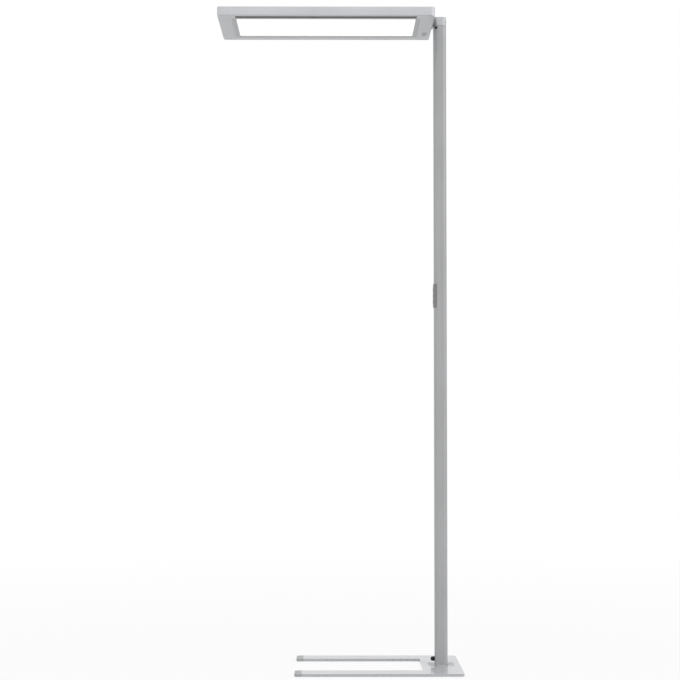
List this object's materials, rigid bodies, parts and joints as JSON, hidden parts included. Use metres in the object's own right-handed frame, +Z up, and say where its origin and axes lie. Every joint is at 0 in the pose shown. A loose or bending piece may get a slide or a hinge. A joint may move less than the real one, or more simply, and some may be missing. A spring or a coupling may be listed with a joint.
{
  "type": "office floor lamp",
  "caption": "Slim office floor lamp: flat LED light head on a square post with touch keys, standing on a forked base that slides under a desk.",
  "frame": {"origin": "on the floor, in the middle of the outline seen from above", "axes": "+Z up along the post, +X from the light head towards the post, +Y to the back"},
  "size_m": [0.715, 0.356, 1.941],
  "materials": {
    "base_steel": "silver-grey powder coat, satin",
    "tip_plastic": "mid-grey moulded plastic",
    "pad_rubber": "black rubber",
    "cast_silver": "cast aluminium, silver-grey coat",
    "cast_grey": "cast aluminium, darker grey coat",
    "insert_alloy": "plain machined aluminium",
    "post_alloy": "extruded aluminium, fine silver-grey coat",
    "rail_alloy": "extruded aluminium, fine silver-grey coat",
    "vent_plastic": "dark grey moulded plastic",
    "cover_metal": "silver-grey coated sheet steel",
    "gear_sheet": "plain aluminium sheet",
    "fastener_steel": "zinc-plated steel",
    "black_screw": "black oxide steel",
    "black_plastic": "black moulded nylon",
    "terminal_plastic": "off-white moulded plastic",
    "lead_sheath": "light grey flexible sheath",
    "pad_plastic": "dark grey moulded plastic, fine texture",
    "key_plastic": "grey moulded plastic",
    "circuit_board": "green circuit board with small switches",
    "bush_plastic": "natural acetal",
    "frame_plastic": "grey moulded frame",
    "diffuser_acrylic": "opal acrylic, lit from behind",
    "guide_acrylic": "clear acrylic light guide",
    "reflector_film": "white reflector film",
    "led_board": "white circuit board with light-emitting diodes",
    "uplight_acrylic": "opal acrylic, lit from below",
    "driver_case": "white moulded case",
    "sensor_lens": "grey translucent lens"
  },
  "bodies": {
    "root": {"base_plate": "base_steel", "prong_caps": "tip_plastic", "floor_pads": "pad_rubber", "post_foot": "cast_silver", "foot_screws": "fastener_steel", "post": "post_alloy", "post_set_screws": "fastener_steel", "cable_gland": "black_plastic", "gland_nut": "black_plastic", "terminal_block": "terminal_plastic", "riser_lead": "lead_sheath", "control_lead": "lead_sheath", "control_housing": "pad_plastic", "control_board": "circuit_board", "post_socket": "black_plastic", "post_top_insert": "insert_alloy", "swivel_bush": "bush_plastic", "clamp_screw": "black_screw", "clamp_nut": "fastener_steel", "swivel_washer": "black_plastic"},
    "head": {"head_adapter": "cast_silver", "spindle_circlip": "fastener_steel", "head_plug": "black_plastic", "head_lead": "lead_sheath", "head_bracket": "cast_grey", "adapter_screws": "fastener_steel", "bracket_screws": "fastener_steel", "front_rail": "rail_alloy", "rear_rail": "rail_alloy", "vent_strip": "vent_plastic", "left_end_cap": "cast_silver", "right_end_cap": "cast_silver", "end_cap_screws": "fastener_steel", "diffuser_frame": "frame_plastic", "diffuser": "diffuser_acrylic", "light_guide": "guide_acrylic", "reflector_sheet": "reflector_film", "front_led_strip": "led_board", "rear_led_strip": "led_board", "gear_plate": "gear_sheet", "uplight_boards": "led_board", "uplight_lead": "lead_sheath", "top_cover": "cover_metal", "uplight_window": "uplight_acrylic", "top_cover_screws": "fastener_steel", "led_driver": "driver_case", "driver_screws": "fastener_steel", "sensor_window": "sensor_lens", "sensor_board": "circuit_board"},
    "key_brighter": {"key_brighter": "key_plastic"},
    "key_power": {"key_power": "key_plastic"},
    "key_dimmer": {"key_dimmer": "key_plastic"}
  },
  "joints": [
    {"name": "head_swivel", "type": "hinge", "parent": "root", "child": "head", "pos_m": [0.3015, 0, 1.916], "axis": [0, 0, 1], "range_deg": [-45, 45]},
    {"name": "key_brighter_press", "type": "slide", "parent": "root", "child": "key_brighter", "axis": [1, 0, 0], "range_m": [0, 0.0009], "stiffness_N_per_m": 800, "springref_m": -0.0006},
    {"name": "key_power_press", "type": "slide", "parent": "root", "child": "key_power", "axis": [1, 0, 0], "range_m": [0, 0.0009], "stiffness_N_per_m": 800, "springref_m": -0.0006},
    {"name": "key_dimmer_press", "type": "slide", "parent": "root", "child": "key_dimmer", "axis": [1, 0, 0], "range_m": [0, 0.0009], "stiffness_N_per_m": 800, "springref_m": -0.0006}
  ]
}
